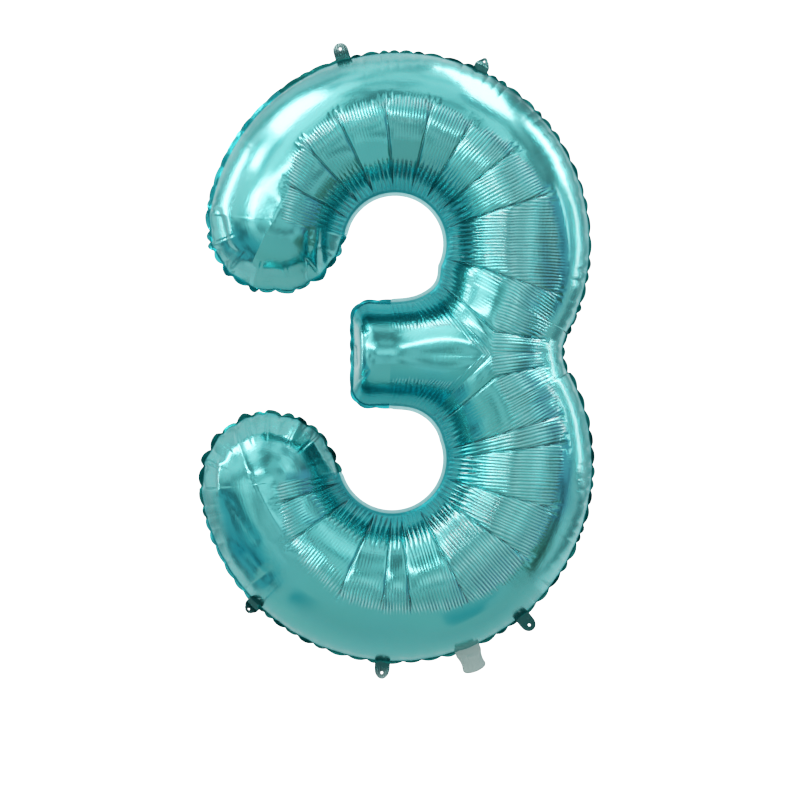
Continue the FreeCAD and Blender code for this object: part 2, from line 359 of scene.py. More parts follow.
def bulge_at(cols):
    """Half the balloon's thickness at the middle end of each column."""
    on_bar = cols.branch == 2
    base = np.where(on_bar, BAR_BULGE, BULGE)
    reach = np.where(on_bar, 137.0, 105.0)
    near = smooth(reach - cols.to_junction, 0, reach)
    return base + (JUNCTION_BULGE - base) * near


def wrinkle_limit(cols):
    """How far out the fine wrinkles reach, as a signed part of the half width."""
    upper = np.interp(
        -cols.angle,
        [-171, -153, -134, -95, -76, -58, -38, -17.5, 5, 18, 27],
        [-0.12, -0.02, 0.19, 0.29, 0.29, 0.24, 0.38, 0.50, 0.62, 0.68, 0.70],
    )
    lower = np.interp(
        cols.angle,
        [187.4, 197.4, 215.5, 246, 276, 298, 325, 345, 365, 378, 386],
        [-0.15, -0.08, 0.06, 0.25, 0.31, 0.44, 0.50, 0.53, 0.60, 0.66, 0.70],
    )
    limit = np.where(cols.branch == 1, lower, upper)
    limit = np.where(cols.to_junction < 80, 0.70, limit)
    bar = 0.6 - 1.05 * smooth(cols.to_junction, 0, 20)
    return np.where(cols.branch == 2, bar, limit)


def ridges(phase):
    """Round ridges between sharp valleys, between -1 and 0.6."""
    return 1.6 * np.abs(np.cos(np.pi * phase)) - 1.0


def film(cols, seed, side):
    """Vertices, faces and surface attributes of one film. side is -1 for the front."""
    ids, spine = cols.id, len(cols.middle)
    middle = cols.middle[ids]
    reach = cols.edge - middle
    width = np.linalg.norm(reach, axis=1)
    way = reach / width[:, None]
    r, rise = section()
    plane = middle[:, None, :] + way[:, None, :] * ((width - FLANGE)[:, None, None] * r[:, None])
    pleats = facets(cols, plane, r)
    plane = plane + way[:, None, :] * pleats.shift[..., None]
    base, normals = smooth_film(cols, plane, r, rise, side)

    depth, marks = relief(cols, r, pleats, seed)
    depth = depth - folds(plane, r)
    scallop, flange_width, tilt, sway = seam_shape(cols)
    near_seam = smooth(r, 0.9, 1.0)
    depth = depth * (1 - near_seam) + scallop[:, None] * near_seam
    shaped = base + normals * depth[..., None]
    shaped[..., 1] += sway[:, None] * smooth(r, 0.93, 1.0)
    shaped[:, -1, 1] = sway
    flange = flange_strip(shaped[:, -1], way, flange_width, tilt, side)
    points = packed(np.concatenate([shaped, flange], axis=1), ids, spine)
    attributes = {}
    for name, values in marks.items():
        grid = np.pad(values, ((0, 0), (0, FLANGE_ROWS)), mode="edge")
        attributes[name] = packed(grid[..., None], ids, spine)[:, 0]
    smooth_shape = packed(base, ids, spine), packed(normals, ids, spine)
    return points, film_faces(ids, spine, ALL_ROWS, side), attributes, smooth_shape


def section():
    """The rows of every column, as parts of its half width and of its bulge."""
    angle = np.linspace(0, math.radians(SEAM_SLOPE), ROWS + 1)
    rise = (np.cos(angle) - math.cos(angle[-1])) / (1 - math.cos(angle[-1]))
    return np.sin(angle) / math.sin(angle[-1]), rise


def smooth_film(cols, plane, r, rise, side):
    """The film without its creases, and its normals, by column and row."""
    ids, spine = cols.id, len(cols.middle)
    height = bulge_at(cols)[:, None] * rise
    height = bar_end_height(cols, plane, height, r)
    base = np.stack([plane[..., 0], side * height, plane[..., 1]], axis=-1)
    normals = vertex_normals(packed(base, ids, spine), film_faces(ids, spine, ROWS, side))
    rows = normals[spine:].reshape(len(ids), ROWS, 3)
    return base, np.concatenate([normals[ids][:, None, :], rows], axis=1)


def bar_end_height(cols, plane, height, r):
    """The bar keeps its round section right into its blunt end, without corners."""
    half = (UPPER.bar_side - LOWER.bar_side) / 2 - FLANGE
    across = np.clip(np.abs(plane[..., 1] - BAR_POLE[1]) / half, 0, 1)
    along = np.clip((BAR_POLE[0] - plane[..., 0]) / (BAR_POLE[0] - BAR_LEFT - FLANGE), 0, 1)
    slope = math.radians(SEAM_SLOPE)
    round_bar = np.cos(np.arcsin(across * math.sin(slope)))
    round_bar = (round_bar - math.cos(slope)) / (1 - math.cos(slope))
    round_end = BAR_BULGE * round_bar * np.sqrt(np.clip(1 - along**5, 0, 1))
    keep = smooth(r, 0.72, 1.0)
    mixed = round_end * (1 - keep) + height * keep
    return np.where((cols.kind == BAR_CAP)[:, None], mixed, height)


def packed(grid, ids, spine):
    """One list of vertices: the middle line's first, then each column's rows."""
    number = np.bincount(ids, minlength=spine)
    middle = [np.bincount(ids, weights=part, minlength=spine) / number for part in grid[:, 0].T]
    return np.vstack([np.stack(middle, axis=1), grid[:, 1:].reshape(-1, grid.shape[-1])])


def film_faces(ids, spine, rows, side):
    """Quads between neighbouring columns, and triangles where two share their start."""
    here = np.arange(len(ids))
    there = (here + 1) % len(ids)
    row = np.arange(rows - 1)
    a = spine + here[:, None] * rows + row
    b = spine + there[:, None] * rows + row
    quads = np.stack([a, b, b + 1, a + 1], axis=-1).reshape(-1, 4)
    first_here, first_there = spine + here * rows, spine + there * rows
    fan = ids[here] == ids[there]
    starts = np.stack([ids[here], ids[there], first_there, first_here], axis=-1)
    quads = np.vstack([quads, starts[~fan]])
    triangles = np.stack([ids[here], first_there, first_here], axis=-1)[fan]
    if side > 0:
        quads, triangles = quads[:, ::-1], triangles[:, ::-1]
    return quads, triangles


def vertex_normals(points, faces):
    """Unit normals, each the area-weighted mean of its faces' normals."""
    total = np.zeros_like(points)
    quads, triangles = faces
    for face in (quads[:, [0, 1, 2]], quads[:, [0, 2, 3]], triangles):
        a, b, c = (points[face[:, k]] for k in range(3))
        normal = np.cross(b - a, c - a)
        for corner in face.T:
            for k in range(3):
                total[:, k] += np.bincount(corner, weights=normal[:, k], minlength=len(points))
    size = np.linalg.norm(total, axis=1, keepdims=True)
    return total / np.maximum(size, 1e-9)


def is_bay(cols):
    """The columns that reach the seam of a bay, or of the bar."""
    return (cols.kind == BAY) | (cols.kind == BAR)


def between(places, borders):
    """The borders around each place, their number, and how far the nearest inner one is."""
    index = np.clip(np.searchsorted(borders, places) - 1, 0, len(borders) - 2)
    nearest = np.min(np.abs(places[:, None] - borders[1:-1]), axis=1)
    return borders[index], borders[index + 1], index, nearest


def signed_place(cols, r):
    """Place across the stroke: -1 at the bay's seam, 0 at the crown, 1 at the outer seam."""
    return np.where(is_bay(cols)[:, None], -r, r)


def panels(cols):
    """The place of a free end's columns in their flat panels of weld."""
    ending = cols.kind == CAP
    u = np.zeros(len(ending))
    nearest = np.full(len(ending), 99.0)
    half = np.ones(len(ending))
    for branch, parts in END_PANELS.items():
        mine = ending & (cols.branch == branch)
        loop = cols.loop[mine]
        borders = loop[0] + np.array(parts) * (loop[-1] - loop[0])
        low, high, _, nearest[mine] = between(loop, borders)
        half[mine] = (high - low) / 2
        u[mine] = (loop - low) / half[mine] - 1
    return Record(u=u, half=half, nearest=nearest, on=ending)


def folds(plane, r):
    """Depth of the single folds, which fade at their ends and at the seam."""
    depth = np.zeros(plane.shape[:2])
    for start, end, deep, wide in FOLDS:
        way = np.subtract(end, start).astype(float)
        size = np.linalg.norm(way)
        along = (plane - start) @ way / size**2
        across = np.abs((plane - start) @ np.array([-way[1], way[0]]) / size)
        ends = smooth(along, -0.12, 0.12) * smooth(1 - along, -0.12, 0.12)
        depth += deep * np.exp(-across / wide) * ends
    return depth * smooth(1 - r, 0.0, 0.08)


def facets(cols, plane, r):
    """The flat facets between the long creases: each point's place along its facet."""
    q = signed_place(cols, r)
    s = cols.s
    spread = np.linalg.norm(np.roll(plane, -1, axis=0) - np.roll(plane, 1, axis=0), axis=-1)
    spread = np.clip(spread / (2 * STEP), 0.05, 2.5)
    along, half = np.zeros_like(q), np.ones_like(q)
    number = np.zeros(len(s), int)
    nearest = np.full(len(s), 99.0)
    for branch, stations in cols.crease_at.items():
        mine = (cols.branch == branch) & (s >= 0)
        low, high, index, nearest[mine] = between(s[mine], stations)
        along[mine] = (s[mine] - (low + high) / 2)[:, None] * spread[mine]
        half[mine] = ((high - low) / 2)[:, None] * spread[mine]
        number[mine] = index + 20 * branch
    on_ring = smooth(cols.to_junction, 70, 95) * (cols.branch != 2) * (s >= 0)
    sagitta = np.clip(half**2 - along**2, 0, None) / (2 * RING_RADIUS * spread)
    limit = wrinkle_limit(cols)[:, None]
    hold = smooth(q, -1.0, -0.8) * smooth(limit + 0.1 - q, 0, 0.25)
    toward_bay = np.where(is_bay(cols), 1.0, -1.0)[:, None]
    shift = toward_bay * sagitta * hold * on_ring[:, None] - panel_shift(cols, r)
    u, nearest = np.clip(along / half, -1, 1), nearest[:, None]
    return Record(q=q, along=along, u=u, number=number, nearest=nearest, shift=shift, limit=limit)


def panel_shift(cols, r):
    """How far the straight edges of a free end's panels cut inside its round outline."""
    panel = panels(cols)
    sagitta = panel.half**2 * (1 - panel.u**2) / (2 * END_RADIUS)
    return (sagitta * panel.on)[:, None] * smooth(r, 0.55, 0.85)


def panel_relief(cols, r):
    """The panels' flat band next to the seam and the creases between them."""
    panel = panels(cols)
    band = np.sin(math.pi * np.clip((r - 0.70) / 0.30, 0, 1))
    line = np.exp(-panel.nearest / 2.2)[:, None] * smooth(r, 0.55, 0.75)
    return (-1.7 * band - 2.2 * line) * panel.on[:, None]


def relief(cols, r, pleats, seed):
    """How far the film stands out of its smooth shape, and its material's marks."""
    q, limit = pleats.q, pleats.limit
    s = cols.s[:, None]
    stroke = (cols.kind == OUTER) | is_bay(cols)
    on_stroke = stroke[:, None] * smooth(s, 0, 5)
    on_ring = (cols.branch != 2)[:, None] * on_stroke
    own = np.random.RandomState(seed).uniform(0, 1, 200)[pleats.number][:, None]
    inside = ribbed(cols, pleats, own, seed) * on_stroke
    quiet = quiet_part(cols)
    marks = rib_waves(cols, pleats, own, inside, quiet, seed)

    crown = smooth(q, -0.5, -0.1) * smooth(limit + 0.1 - q, 0, 0.2)
    bowed = (0.9 + 2.6 * own) * (1 - pleats.u**2 - 0.6) * crown * smooth(s, 0, 12)
    depth = ridges(marks["rib"]) * marks["rib_depth"] + ridges(marks["pleat"]) * marks["pleat_depth"]
    depth = depth + (bowed - 2.8 * crease_lines(pleats)) * on_ring + panel_relief(cols, r)
    # Painted light in the film's colour: shade along the creases, self-reflection beside the bays and
    # at the seam, highlights on the rib tops, and a lighter or darker tone for each facet's reflection.
    thin = np.exp(-pleats.nearest / 0.7) * smooth(q, -1.0, -0.85) * smooth(limit + 0.03 - q, 0, 0.1)
    band = smooth(q, limit - 0.17, limit - 0.05)
    marks["crease"] = np.clip(thin * on_ring, 0, 1)
    marks["deep"] = painted_self_reflection_zone(cols, r, q)
    marks["painted_rib_highlight"] = np.maximum(band, 0.6 * quiet * smooth(q, -0.4, 0.0)) * inside
    marks["painted_facet_brightness"] = (2 * own - 1) * inside * smooth(q, -0.8, -0.6)
    marks["rim"] = smooth(r, 0.93, 1.0) * np.ones_like(q)
    return depth + pinches(cols, r, seed) + swells(cols, r, q, seed), marks


def ribbed(cols, pleats, own, seed):
    """Where the film is ribbed: inside a ragged limit, faintly on the bar, not right beside it."""
    q = pleats.q
    ragged = pleats.limit + 0.02 * wave_noise(cols.g, 3.4, seed)[:, None]
    ragged = ragged + 0.02 * (1 - pleats.u**2) - 0.03 * own
    strength = np.where(cols.branch == 2, 0.5, 1.0)[:, None]
    inside = smooth(ragged - q, 0, 0.05) * smooth(q, -1.0, -0.94) * strength
    beside_bar = (cols.kind == BAY) * smooth(114 - cols.to_junction, 0, 28)
    return inside * (1 - 0.93 * beside_bar[:, None] * smooth(q, -0.95, -0.65))


def quiet_part(cols):
    """How deep the ribs are across the middle of the facets."""
    lower = np.interp(cols.angle, [187, 200, 285, 310], [0.7, 0.12, 0.12, 1])
    upper = np.interp(-cols.angle, [-171, -160, -75, -40], [0.7, 0.12, 0.12, 1])
    return np.where(cols.branch == 1, lower, upper)[:, None]


def rib_waves(cols, pleats, own, inside, quiet, seed):
    """Phase and depth of the fine ribs, and of the wider pleats beside the bays."""
    q, limit, along = pleats.q, pleats.limit, pleats.along
    g = cols.g[:, None]
    calm = 1 - (1 - quiet) * smooth(q, -0.72, -0.55) * smooth(limit - 0.22 - q, 0, 0.12)
    jitter = 0.3 * field_noise(g, q, 15, 0.8, seed + 5) + 0.25 * wave_noise(g, 31, seed + 6)
    uneven = 0.95 + 0.45 * field_noise(g, q, 6, 0.35, seed + 8)
    fine_part = smooth(q, -0.66, -0.5) * (0.42 + 0.16 * smooth(q, limit - 0.2, limit - 0.04))
    wide_part = (1 - smooth(q, -0.62, -0.5)) * 0.62
    return {
        "rib": along / 4.3 + jitter + own,
        "rib_depth": fine_part * uneven * calm * inside,
        "pleat": along / 6.6 + 0.5 * jitter + own,
        "pleat_depth": wide_part * uneven * inside,
    }


def crease_lines(pleats):
    """The long creases between facets, each forked at its outer end."""
    q, limit, nearest = pleats.q, pleats.limit, pleats.nearest
    line = np.exp(-nearest / 1.5) * smooth(q, -1.0, -0.85) * smooth(limit + 0.06 - q, 0, 0.1)
    spread = 2.2 + 5 * smooth(q, limit - 0.12, limit + 0.05)
    fork = smooth(q, limit - 0.2, limit - 0.02) * smooth(limit + 0.07 - q, 0, 0.05)
    return line + 0.5 * np.exp(-np.abs(nearest - spread) / 1.2) * fork


def painted_self_reflection_zone(cols, r, q):
    """Where the film's reflection of itself is painted in as deep turquoise: beside the bays, on the
    bar, and in two streaked places.
    """
    kind, edge_z = cols.kind, cols.edge[:, 1]
    ring = (1 - smooth(q, -0.97, -0.62)) * (kind == BAY)[:, None]
    below = (edge_z < BAR_POLE[1])[:, None]
    bar = (1 - smooth(q, np.where(below, -0.75, -0.85), np.where(below, -0.08, -0.40))) * 0.9
    bar = bar * (kind == BAR)[:, None]
    sideways = smooth(np.abs(edge_z - BAR_POLE[1]), 38, 66)[:, None]
    bar_cap = smooth(r, 0.40, 0.85) * sideways * (kind == BAR_CAP)[:, None] * 0.9
    return ring + bar + bar_cap + painted_reflection_streaks(cols, q)


def painted_reflection_streaks(cols, q):
    """Painted reflection of the balloon's own colour, in streaks along two stretches of the lower band.
    """
    angle = cols.angle
    on = (cols.branch == 1) & (cols.kind == OUTER)
    streaks = smooth(field_noise(cols.g[:, None], q, 34, 0.11, 61), -0.5, 0.1)
    found = 0.0
    for start, end, at_start, at_end in ((203, 240, 0.72, 0.46), (284, 320, 0.48, 0.66)):
        along = smooth(angle, start - 4, start + 8) * smooth(end + 4 - angle, 0, 12)
        middle = np.interp(angle, [start, end], [at_start, at_end])[:, None]
        across = np.exp(-(((q - middle) / 0.13) ** 2))
        found = found + (on * along)[:, None] * across * streaks
    return 0.85 * found


def seam_zone(cols):
    """How strongly the seam is pinched at each column, from 0 on the bays."""
    kind, branch, angle = cols.kind, cols.branch, cols.angle
    upper = np.interp(-angle, [-171, -150, -118, -100], [0.5, 0.3, 0.35, 1.0])
    lower = np.interp(angle, [187, 215, 240, 300], [1.0, 0.55, 1.0, 1.0])
    zone = np.where(kind == OUTER, np.where(branch == 0, upper, lower), 0.0)
    zone = np.where(kind == CAP, np.where(branch == 0, 0.9, 1.2), zone)
    zone = np.where(kind == BAR_CAP, 0.45, zone)
    kernel = np.hanning(33) / np.hanning(33).sum()
    return np.convolve(np.pad(zone, 16, mode="wrap"), kernel, mode="valid")


def between_pinches(cols):
    """Each column's place between two pinches, from 0 to 1, and their number."""
    random = np.random.RandomState(11)
    at = [-10.0]
    while at[-1] < cols.loop[-1] + 10:
        at.append(at[-1] + random.uniform(13, 33))
    at = np.array(at)
    index = np.searchsorted(at, cols.loop) - 1
    return (cols.loop - at[index]) / (at[index + 1] - at[index]), index


def seam_shape(cols):
    """Scallops of the seam, and the width, tilt and sway of its flange."""
    zone = seam_zone(cols)
    pinched = np.clip(zone, 0, 1)
    u, index = between_pinches(cols)
    lens = np.sin(np.pi * u)
    table = np.random.RandomState(12).uniform(-1, 1, 400)
    at_end = cols.kind == CAP
    scallop = np.where(at_end, -2.2, -1.3) * zone * (1 - lens**0.7)
    size = 0.78 + 0.22 * table[index + 100]
    lens = np.where(at_end, lens**0.7, lens * size)
    shown = np.where(at_end, 0.85, 0.64)
    flange_width = FLANGE * (1 - pinched * (0.88 - shown * lens))
    tilt = pinched * 55 * table[index] * lens
    sway = 2.2 * pinched * table[index + 50] * lens
    return scallop, flange_width, tilt, sway


def is_fan(cols):
    """The columns of the free ends, and of the bar's end."""
    return (cols.kind == CAP) | (cols.kind == BAR_CAP)


def pinches(cols, r, seed):
    """Short folds that run inwards from each pinch of the seam."""
    u, index = between_pinches(cols)
    from_seam = 1 - r
    nearest = np.where(u < 0.5, u, 1 - u) * 23  # a typical distance between two pinches
    length = 0.14 + 0.08 * np.random.RandomState(seed + 20).uniform(-1, 1, 400)[index + (u > 0.5)]
    size = np.where(is_fan(cols), 0.22, 0.25)[:, None]
    fade = np.exp(-((from_seam / length[:, None]) ** 1.3))
    groove = -3.0 * size * np.exp(-nearest / 2.4)[:, None] * fade
    swell = 1.3 * size * (np.sin(np.pi * u) - 0.6)[:, None] * np.exp(-((from_seam / 0.2) ** 2))
    return (groove + swell) * seam_zone(cols)[:, None]


def swells(cols, r, q, seed):
    """Broad, shallow unevenness of the taut outer film."""
    kind, lower = cols.kind, cols.branch == 1
    g = cols.g[:, None]
    outer = np.where(is_fan(cols)[:, None], smooth(r, 0.15, 0.7), smooth(q, -0.1, 0.5))
    broad = field_noise(g, q, 46, 0.55, seed + 30)
    soft = field_noise(g, q, 19, 0.3, seed + 31)
    wavy = ((kind == OUTER) & lower) * smooth(250 - cols.angle, 0, 20)
    taut = np.where((kind == CAP) & lower, 0.2, 1.0)
    return taut[:, None] * outer * (1.5 * broad + (0.35 + 0.6 * wavy[:, None]) * soft)


def flange_strip(seam, way, width, tilt, side):
    """The flat flange outside the seam; both films share its shape."""
    tilt = np.radians(tilt)
    out = np.stack([way[:, 0] * np.cos(tilt), np.sin(tilt), way[:, 1] * np.cos(tilt)], axis=-1)
    strip = np.stack([seam + out * (width * part)[:, None] for part in (0.35, 1.0)], axis=1)
    strip[..., 1] += side * 0.15
    return strip


# --- meshes and materials


def new_object(name, data):
    """A new object in the scene."""
    thing = bpy.data.objects.new(name, data)
    bpy.context.scene.collection.objects.link(thing)
    return thing


def make_mesh(name, points, faces, materials):
    """A smooth-shaded object of quads and triangles, from points in millimetres."""
    mesh = bpy.data.meshes.new(name)
    mesh.from_pydata(points * MM, [], [face for part in faces for face in part.tolist()])
    mesh.validate()
    mesh.shade_smooth()
    for material in materials:
        mesh.materials.append(material)
    return new_object(name, mesh)


def add_attribute(thing, name, values):
    """Store one value per vertex for the material to read."""
    layer = thing.data.attributes.new(name, "FLOAT", "POINT")
    layer.data.foreach_set("value", values.astype(np.float32))


class Nodes:
    """Short ways to set up the shader nodes of a material or of the room."""

    def __init__(self, owner, shader, plain):
        owner.use_nodes = True
        self.owner = owner
        self.tree = owner.node_tree
        self.shader = self.tree.nodes[shader]
        for name, value in plain.items():
            self.shader.inputs[name].default_value = value

    def add(self, kind, inputs, **settings):
        """A new node with its settings, and with its inputs set or linked."""
        node = self.tree.nodes.new("ShaderNode" + kind)
        for name, value in settings.items():
            setattr(node, name, value)
        for name, value in inputs.items():
            self.put(node.inputs[name], value)
        return node

    def put(self, socket, value):
        if isinstance(value, bpy.types.NodeSocket):
            self.tree.links.new(value, socket)
        else:
            socket.default_value = value

    def mark(self, name):
        return self.add("Attribute", {}, attribute_name=name).outputs["Fac"]

    def maths(self, operation, *values):
        return self.add("Math", dict(enumerate(values)), operation=operation).outputs["Value"]

    def times(self, first, second):
        return self.maths("MULTIPLY", first, second)

    def mix(self, factor, first, second, blend="MIX"):
        inputs = {"Factor": factor, "A": first, "B": second}
        return self.add("Mix", inputs, data_type="RGBA", blend_type=blend).outputs["Result"]

    def noise(self, scale, detail=2.0, **place):
        return self.add("TexNoise", {"Scale": scale, "Detail": detail, **place}).outputs["Fac"]

    def bump(self, height, strength, distance):
        inputs = {"Height": height, "Strength": strength, "Distance": distance}
        self.put(self.shader.inputs["Normal"], self.add("Bump", inputs).outputs["Normal"])

    def paint(self, colour):
        self.put(self.shader.inputs["Base Color"], colour)


def new_look(name, plain):
    """A new material, with plain values set on its shader."""
    return Nodes(bpy.data.materials.new(name), "Principled BSDF", plain)


TEAL = (0.064, 0.43, 0.46, 1)
SEA_GREEN = (0.060, 0.43, 0.39, 1)
# painted self-reflection: the film's own colour seen in itself, beside the bays, at the seam rim and in
# streaks
PAINTED_SELF_REFLECTION = (0.006, 0.30, 0.34, 1)
# painted shade for the valleys of the ribs and pleats, and along the creases
PAINTED_VALLEY_SHADE = (0.006, 0.11, 0.13, 1)
# painted highlight: silvery colour for the rib tops near the wrinkles' limit
PAINTED_RIB_HIGHLIGHT = (0.30, 0.74, 0.76, 1)
# painted shade for the flange where it tilts away
PAINTED_SHADE_WELD = (0.012, 0.16, 0.15, 1)
BAY_WELD = (0.34, 0.66, 0.68, 1)
FOIL = {
    "Metallic": 1.0,
    "Roughness": 0.2,
    "Specular Tint": (0.35, 0.8, 0.82, 1),
    "Coat Roughness": 0.17,
    "Coat IOR": 1.6,
}


def foil_material():
    """Metallised film under a clear teal lacquer, with the ribs' sharp valleys as bump."""
    look = new_look("teal_foil_look", FOIL)
    waves, heights = [], []
    for name in ("rib", "pleat"):
        phase = look.times(look.mark(name), math.pi)
        waves.append(look.maths("ABSOLUTE", look.maths("COSINE", phase)))
        heights.append(look.times(waves[-1], look.mark(name + "_depth")))
    height = look.maths("ADD", *heights)
    height = look.maths("ADD", height, look.times(look.noise(60.0), 0.25))
    look.bump(height, 0.85, 0.0011)
    deep, rim = look.mark("deep"), look.mark("rim")
    look.paint(foil_colour(look, waves, deep, rim))
    # less lacquer sheen where the self-reflection is painted in
    dull = look.times(look.maths("MAXIMUM", deep, rim), 0.75)
    look.put(look.shader.inputs["Coat Weight"], look.maths("SUBTRACT", 1.0, dull))
    return look.owner


def foil_colour(look, waves, deep, rim):
    """Teal film with painted light: a tone painted lighter or darker on each facet for its reflection,
    painted silvery highlights on the rib tops, painted shade in the valleys and creases, and painted
    deep turquoise self-reflection beside the bays and at the rim.
    """
    colour = look.mix(look.times(look.noise(6.0, 3.0), 0.9), TEAL, SEA_GREEN)
    # each facet painted lighter or darker at random, standing in for how differently the facets reflect
    lighter = look.maths("ADD", 1.0, look.times(look.mark("painted_facet_brightness"), 0.16))
    grey = look.add("CombineColor", {0: lighter, 1: lighter, 2: lighter}).outputs["Color"]
    colour = look.mix(1.0, colour, grey, "MULTIPLY")
    # painted self-reflection beside the bays, on the bar and in streaks
    colour = look.mix(deep, colour, PAINTED_SELF_REFLECTION)
    # painted highlight on the rib tops
    top = look.maths("POWER", waves[0], 3.0)
    colour = look.mix(look.times(top, look.mark("painted_rib_highlight")), colour, PAINTED_RIB_HIGHLIGHT)
    # painted shade in the valleys of the ribs and pleats
    for wave, name, reach in zip(waves, ("rib", "pleat"), (1.3, 0.6)):
        valley = look.maths("POWER", look.maths("SUBTRACT", 1.0, wave), 2.5)
        strength = look.times(look.mark(name + "_depth"), reach)
        strength = look.maths("MINIMUM", strength, 0.85)
        colour = look.mix(look.times(valley, strength), colour, PAINTED_VALLEY_SHADE)
    # painted shade along the long creases
    colour = look.mix(look.times(look.mark("crease"), 0.8), colour, PAINTED_VALLEY_SHADE)
    # painted self-reflection at the rim next to the seam
    return look.mix(look.times(rim, 0.6), colour, PAINTED_SELF_REFLECTION)


def plain_film(name, plain, colour, dark, patches, grain, *bump):
    """A film in two close shades, with a fine grain."""
    look = new_look(name, plain)
    darker = (*(dark * value for value in colour[:3]), 1)
    look.paint(look.mix(look.noise(*patches), darker, colour))
    look.bump(look.noise(grain), *bump)
    return look.owner


def weld_material(name, colour):
    """The flat welded edge of the foil."""
    plain = {"Metallic": 1.0, "Roughness": 0.3}
    return plain_film(name, plain, colour, 0.8, (40.0,), 500.0, 0.3, 0.0003)


def flange_faces(thing, cols):
    """Give the flange its own material: painted shade where it tilts away, pale round the bays."""
    kind, branch, angle = cols.kind, cols.branch, cols.angle
    # the flange gets painted shade on the stretches of the outer seam where it tilts away
    dark = (kind == OUTER) & (branch == 0) & (angle < 128)
    dark |= (kind == OUTER) & (branch == 1) & ((angle > 222) | (angle < 196))
    dark |= (kind == CAP) & (branch == 1)
    column, row = np.divmod(np.arange(len(kind) * (ALL_ROWS - 1)), ALL_ROWS - 1)
    slots = (row >= ROWS - 1) * np.where(dark, 1, np.where(is_bay(cols), 2, 0))[column]
    index = np.zeros(len(thing.data.polygons), np.int32)
    index[: len(slots)] = slots
    thing.data.polygons.foreach_set("material_index", index)


def sharpen_seam(thing, cols):
    """The film and its flange meet at a sharp line."""
    on_seam = np.zeros(len(thing.data.vertices), bool)
    on_seam[len(cols.middle) + np.arange(len(cols.id)) * ALL_ROWS + ROWS - 1] = True
    ends = np.zeros(len(thing.data.edges) * 2, np.int32)
    thing.data.edges.foreach_get("vertices", ends)
    layer = thing.data.attributes.new("sharp_edge", "BOOLEAN", "EDGE")
    layer.data.foreach_set("value", on_seam[ends.reshape(-1, 2)].all(axis=1))


# --- stage


CAMERA_PLACE = (0.0049, -5.0, -0.0544)  # metres
CAMERA_LENS = 162.2
FLOOR_Z, FLOOR_HALF_X, FLOOR_HALF_Y = -0.8, 0.75, 1.5
SOFT_BOXES = {
    # name: where the front film shows its reflection (x, z), width, height, brightness
    "crown_left": ((-143, 338), 1.2, 0.8, 17),
    "crown_right": ((112, 370), 1.7, 0.8, 15),
    "shoulder_right": ((211, 290), 0.4, 0.9, 15),
    "shoulder_left": ((-228, 233), 0.4, 1.3, 15),
    "side_left": ((-190, 279), 0.5, 0.35, 22),
    "strip_right": ((240, 223), 0.10, 2.4, 20),
    "end_left": ((-206, -150), 0.25, 0.6, 12),
    "end_edge": ((-243, -162), 0.12, 0.8, 16),
    "bar_line": ((46, 27), 2.2, 0.20, 22),
    "waist_line": ((213, -38), 0.10, 1.2, 12),
}
BOX_DISTANCE = 2.5
CLOUDS = ((0.40, (0.30, 0.33, 0.34, 1)), (0.55, (1.22, 1.25, 1.25, 1)))  # noise level, colour
SHADES = [
    # direction of a lighter or darker part of the room, degrees where it starts and is full, colour
    ((0.0, -0.30, 0.95), 62, 30, (1.7, 1.72, 1.72, 1)),
    ((-0.70, -0.15, 0.70), 45, 20, (1.5, 1.5, 1.5, 1)),
    ((0.0, -0.80, 0.60), 30, 12, (0.55, 0.60, 0.60, 1)),
    ((0.02, -1.0, 0.02), 15, 7, (1.9, 1.9, 1.9, 1)),
    ((0.75, -0.66, 0.10), 17, 9, (0.35, 0.42, 0.48, 1)),
    ((-0.80, -0.60, 0.15), 24, 12, (2.0, 2.0, 2.0, 1)),
    ((0.62, -0.70, 0.35), 14, 8, (2.2, 2.2, 2.2, 1)),
    ((-0.84, 0.0, -0.54), 40, 20, (0.22, 0.56, 0.64, 1)),
    ((1.0, -0.15, 0.0), 30, 14, (0.40, 0.52, 0.68, 1)),
    ((0.75, -0.2, -0.65), 26, 12, (0.25, 0.32, 0.26, 1)),
]
BACKDROP = ((0.0, 1.0, 0.0), 14, 10.5, (4.0, 4.0, 4.0, 1))  # the white behind the balloon
WHITE_LEVEL = 3.2
RESPONSE = ((0.03, 0.08), (0.14, 0.385), (0.28, 0.62), (0.55, 0.86))  # light, shown


def make_stage():
    """A plain pale floor under the balloon, which hangs in the air."""
    look = new_look("studio_pale", {"Base Color": (0.32, 0.33, 0.32, 1), "Roughness": 0.9})
    x, y = FLOOR_HALF_X, FLOOR_HALF_Y
    corners = [(-x, -y, FLOOR_Z), (x, -y, FLOOR_Z), (x, y, FLOOR_Z), (-x, y, FLOOR_Z)]
    faces = (np.array([(0, 1, 2, 3)]), np.zeros((0, 3), int))
    make_mesh("studio_floor", np.array(corners) / MM, faces, [look.owner])


def soft_light(name, seen_at, width, height, brightness, points, normals):
    """A soft box placed so that the camera sees its reflection at a spot of the front film."""
    spot = np.argmin(np.hypot(points[:, 0] - seen_at[0], points[:, 2] - seen_at[1]))
    place = Vector(points[spot]) * MM
    view = (place - Vector(CAMERA_PLACE)).normalized()
    way = view.reflect(Vector(normals[spot]))
    light = bpy.data.lights.new(name, "AREA")
    light.shape = "RECTANGLE"
    light.size, light.size_y = width, height
    light.energy = brightness * math.pi * width * height
    thing = new_object(name, light)
    thing.location = place + way * BOX_DISTANCE
    thing.rotation_euler = (-way).to_track_quat("-Z", "Y").to_euler()


